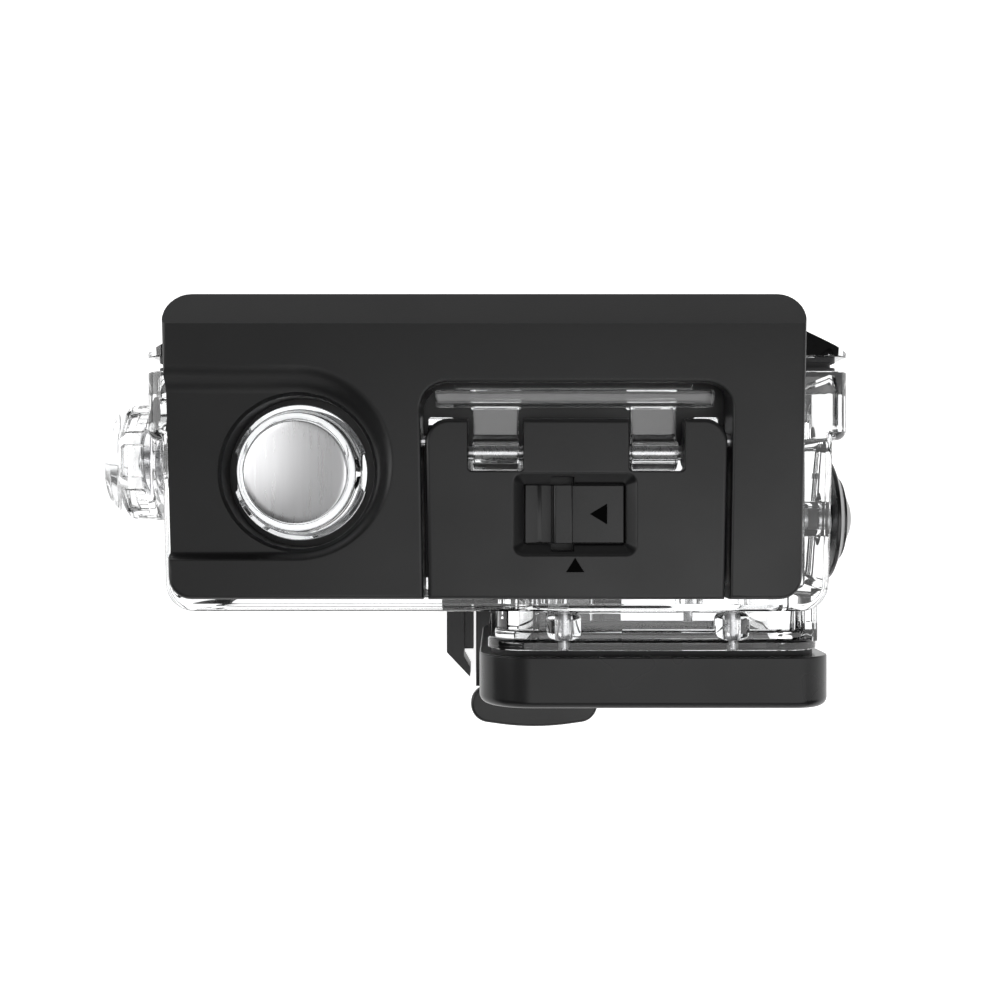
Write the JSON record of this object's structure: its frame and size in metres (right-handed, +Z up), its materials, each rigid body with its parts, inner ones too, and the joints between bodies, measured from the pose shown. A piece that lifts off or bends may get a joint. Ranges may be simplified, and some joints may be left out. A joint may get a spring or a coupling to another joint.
{
  "type": "waterproof camera housing",
  "caption": "Clear waterproof housing for an action camera: hinged back door, over-centre top latch with slide lock, push buttons, lens port and a quick-release foot.",
  "frame": {"origin": "middle of the buckle's flat foot, on its underside", "axes": "+X to the left button's opposite side, that is right when looking from the door towards the lens with the cover up; +Y from the lens towards the back door; +Z up, out of the black top cover"},
  "size_m": [0.0883, 0.0583, 0.0795],
  "materials": {
    "clear_body": "clear polished polycarbonate, smooth, faintly cool at the edges",
    "clear_small": "clear polished polycarbonate mouldings",
    "window_glass": "flat polished lens window with a faint coating",
    "cover_black": "fine matte texture, soft satin sheen",
    "slide_black": "smooth satin black",
    "bezel_black": "smooth satin black",
    "shield_black": "dead matt black",
    "seal_rubber": "soft dark silicone",
    "button_black": "smooth black, lightly glossy",
    "button_metal": "smooth bright plated face, slightly dished",
    "buckle_black": "satin black, slightly smoother than the cover",
    "steel": "turned stainless steel",
    "spring_steel": "drawn stainless wire and stamped clips"
  },
  "bodies": {
    "housing": {"front_shell": "clear_body", "top_cover": "cover_black", "lever_pivot_pins": "steel", "door_hinge_pin": "steel", "lens_bezel": "bezel_black", "lens_window": "window_glass", "window_gasket": "seal_rubber", "lens_light_shield": "shield_black", "bezel_screws": "steel"},
    "door": {"back_door": "clear_body", "door_gasket": "seal_rubber"},
    "latch": {"latch_lever": "cover_black", "hook_pin": "steel"},
    "hook": {"hook_link": "clear_small"},
    "lock": {"lock_slider": "slide_black", "lock_tongue": "slide_black"},
    "shutter": {"shutter_cap": "clear_small", "shutter_disc": "button_metal", "shutter_stem": "steel", "shutter_spring": "spring_steel", "shutter_seal": "seal_rubber", "shutter_clip": "spring_steel"},
    "left_button": {"left_button_cap": "clear_small", "left_button_stem": "steel", "left_button_spring": "spring_steel", "left_button_seal": "seal_rubber", "left_button_clip": "spring_steel"},
    "right_button": {"right_button_cap": "button_black", "right_button_stem": "steel", "right_button_spring": "spring_steel", "right_button_seal": "seal_rubber", "right_button_clip": "spring_steel"},
    "foot": {"buckle": "buckle_black", "captive_nut": "steel"},
    "tongue": {"release_tongue": "buckle_black"},
    "screw": {"thumb_bolt": "steel", "thumb_knob": "buckle_black"}
  },
  "joints": [
    {"name": "door_hinge", "type": "hinge", "parent": "housing", "child": "door", "pos_m": [-0.0054, 0.02365, 0.0211], "axis": [-1, 0, 0], "range_deg": [0, 110]},
    {"name": "latch_lift", "type": "hinge", "parent": "housing", "child": "latch", "pos_m": [0.00275, 0.01485, 0.0776], "axis": [-1, 0, 0], "range_deg": [0, 115]},
    {"name": "hook_swing", "type": "hinge", "parent": "latch", "child": "hook", "pos_m": [0.00275, 0.01365, 0.0757], "axis": [-1, 0, 0], "range_deg": [-103.1, 0]},
    {"name": "lock_slide", "type": "slide", "parent": "latch", "child": "lock", "axis": [-1, 0, 0], "range_m": [0, 0.0025]},
    {"name": "shutter_press", "type": "slide", "parent": "housing", "child": "shutter", "axis": [0, 0, -1], "range_m": [0, 0.0016], "stiffness_N_per_m": 600, "springref_m": -0.001, "deforming": ["shutter_spring"]},
    {"name": "left_button_press", "type": "slide", "parent": "housing", "child": "left_button", "axis": [1, 0, 0], "range_m": [0, 0.0016], "stiffness_N_per_m": 600, "springref_m": -0.001, "deforming": ["left_button_spring"]},
    {"name": "right_button_press", "type": "slide", "parent": "housing", "child": "right_button", "axis": [-1, 0, 0], "range_m": [0, 0.0009], "stiffness_N_per_m": 700, "springref_m": -0.001, "deforming": ["right_button_spring"]},
    {"name": "foot_pitch", "type": "hinge", "parent": "housing", "child": "foot", "pos_m": [0, 0.00845, 0.015], "axis": [1, 0, 0], "range_deg": [-30, 40]},
    {"name": "tongue_flex", "type": "hinge", "parent": "foot", "child": "tongue", "pos_m": [0, -0.00105, 0.0016], "axis": [1, 0, 0], "range_deg": [0, 4], "stiffness_Nm_per_rad": 0.6},
    {"name": "screw_turn", "type": "hinge", "parent": "foot", "child": "screw", "pos_m": [0, 0.00845, 0.015], "axis": [1, 0, 0], "continuous": true}
  ],
  "couplings": [
    {"joint": "hook_swing", "follows": "latch_lift", "ratio": -0.896}
  ]
}
